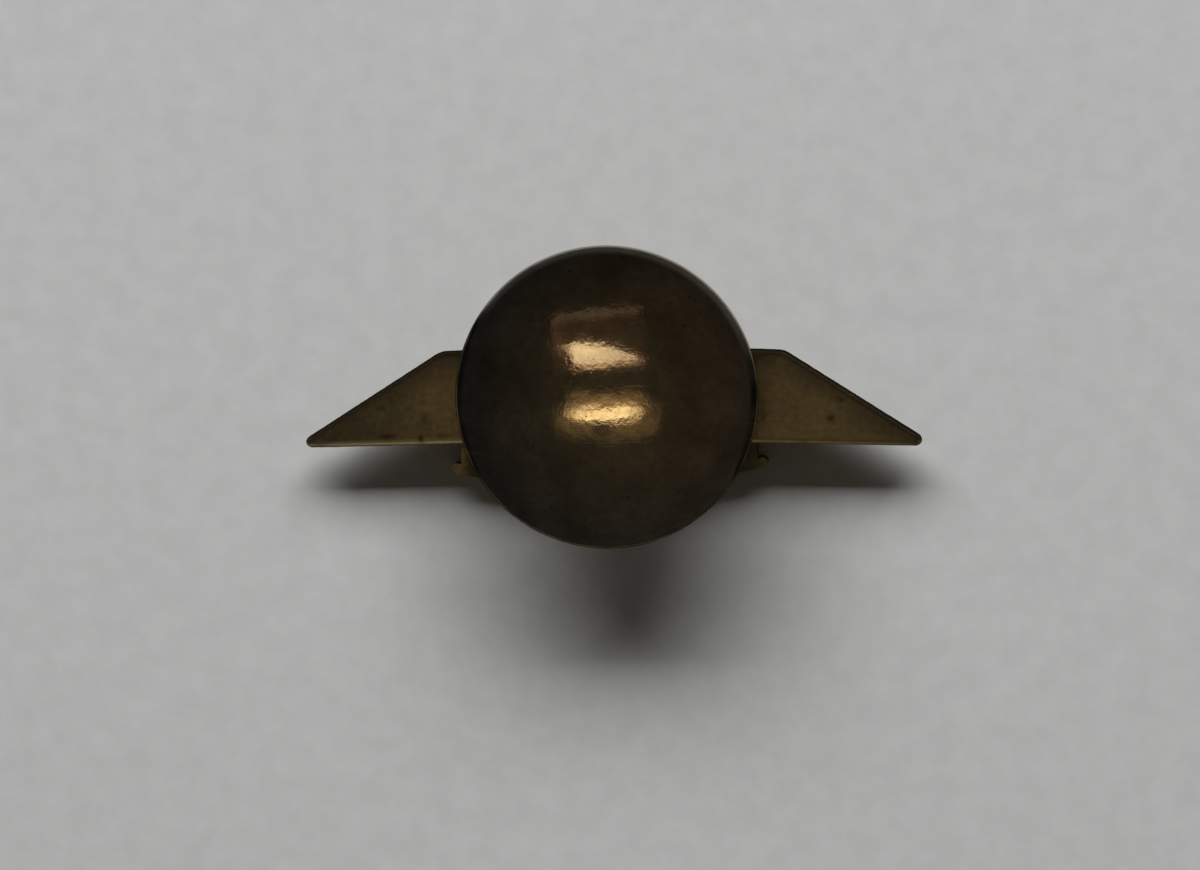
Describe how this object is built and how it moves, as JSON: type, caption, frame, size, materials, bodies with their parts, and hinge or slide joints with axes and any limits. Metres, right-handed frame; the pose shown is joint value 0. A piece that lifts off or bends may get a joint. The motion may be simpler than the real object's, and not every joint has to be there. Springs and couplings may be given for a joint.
{
  "type": "wings lapel badge with screw back",
  "caption": "Small struck-brass wings badge with a plain back, on a threaded stud with a polished domed nut that clamps it to a lapel.",
  "frame": {"origin": "on the stud's axis, in the plane of the front face that the badge lies on", "axes": "+X along the wings, to the right as seen from behind; +Y towards the wings' upper edge; +Z along the stud, from the front face towards the domed nut"},
  "size_m": [0.0312, 0.015, 0.0084],
  "materials": {
    "struck_brass": "aged, dull brown-gold patina with rubbed edges and a few dark pits",
    "cap_brass": "polished, deeply toned dark brown, fine scratches, brighter on the rolled rim",
    "screw_brass": "turned, satin, slightly toned",
    "disc_brass": "rolled sheet, satin, toned",
    "solder": "dull grey soft solder"
  },
  "bodies": {
    "badge": {"wings_plate": "struck_brass", "scroll": "struck_brass", "centre_roundel": "struck_brass", "stud_flange": "screw_brass", "threaded_stud": "screw_brass", "stud_solder": "solder", "spur_left": "screw_brass", "spur_right": "screw_brass"},
    "pressure_disc": {"pressure_disc": "disc_brass"},
    "nut": {"nut_cap": "cap_brass", "nut_bush": "screw_brass", "bush_solder": "solder"}
  },
  "joints": [
    {"name": "nut_travel", "type": "slide", "parent": "badge", "child": "pressure_disc", "axis": [0, 0, 1], "range_m": [-0.00015, 0.00225]},
    {"name": "nut_turn", "type": "hinge", "parent": "pressure_disc", "child": "nut", "pos_m": [0, 0, 0.0052], "axis": [0, 0, 1], "range_deg": [-120.5, 1800.5]}
  ],
  "couplings": [
    {"joint": "nut_turn", "follows": "nut_travel", "rad_per_m": 13963}
  ]
}
